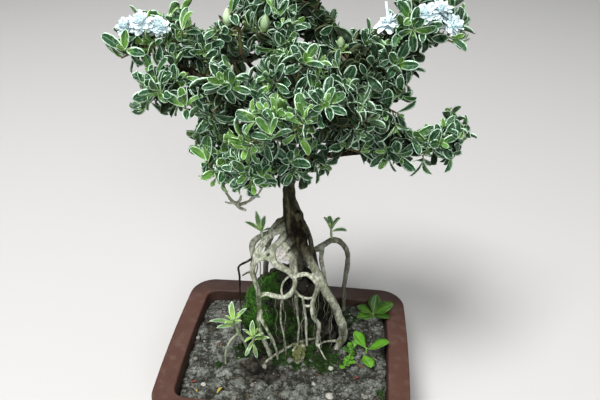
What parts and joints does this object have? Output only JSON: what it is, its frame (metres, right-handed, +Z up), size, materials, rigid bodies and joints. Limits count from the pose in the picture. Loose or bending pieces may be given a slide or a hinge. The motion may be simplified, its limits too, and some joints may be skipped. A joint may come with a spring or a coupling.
{
  "type": "serissa bonsai",
  "caption": "Variegated serissa bonsai with white flowers, standing on a cage of exposed roots over a mossy mound of soil in a shallow rectangular pot with a broad flat rim.",
  "frame": {"origin": "centre of the pot's flat underside", "axes": "+Z up along the tree, +X along the pot's length to the right seen from the front, -Y towards the front of the pot"},
  "size_m": [0.2885, 0.2067, 0.4707],
  "materials": {
    "pot": "satin reddish-brown plastic, dusty and faintly scuffed along the rim",
    "soil": "dry crumbly grey-brown potting soil with grit, and moss on the mound",
    "bark": "fissured grey-brown bark on the trunk, paler grey-green on the exposed roots",
    "leaf": "satin green leaf with a cream-white margin, lime green where young",
    "petal": "matt thin white petal with a cool tint in its folds",
    "bud": "matt pale green and white bud",
    "sucker_leaf": "satin whitish-green leaf with a wide pale margin",
    "weed_leaf": "glossy fresh green leaf with a paler midrib"
  },
  "bodies": {
    "root": {"pot": "pot", "soil": "soil", "tree_wood": "bark", "bloom_left": "petal", "bloom_right_inner": "petal", "bloom_right_top": "petal", "bud_left": "bud", "bud_middle": "bud", "bud_right": "bud", "spray_back": "leaf", "spray_back_high": "leaf", "spray_back_left": "leaf", "spray_back_right": "leaf", "spray_crown": "leaf", "spray_crown_low": "leaf", "spray_front": "leaf", "spray_front_high": "leaf", "spray_front_low": "leaf", "spray_front_right": "leaf", "spray_heart": "leaf", "spray_left_above": "leaf", "spray_left_back": "leaf", "spray_left_below": "leaf", "spray_left_end": "leaf", "spray_left_front": "leaf", "spray_left_low": "leaf", "spray_left_top": "leaf", "spray_left_under": "leaf", "spray_low_back": "leaf", "spray_low_front": "leaf", "spray_low_left": "leaf", "spray_low_middle": "leaf", "spray_low_right": "leaf", "spray_low_tip": "leaf", "spray_right_above": "leaf", "spray_right_back": "leaf", "spray_right_end": "leaf", "spray_right_front": "leaf", "spray_right_outer": "leaf", "spray_right_top": "leaf", "spray_right_under": "leaf", "spray_top_front": "leaf", "spray_top_left": "leaf", "spray_top_right": "leaf", "sucker_front": "sucker_leaf", "sucker_left": "sucker_leaf", "sucker_root_left": "sucker_leaf", "sucker_root_right": "sucker_leaf", "weed_back": "weed_leaf", "weed_creeping": "weed_leaf", "weed_front": "weed_leaf"}
  },
  "joints": []
}
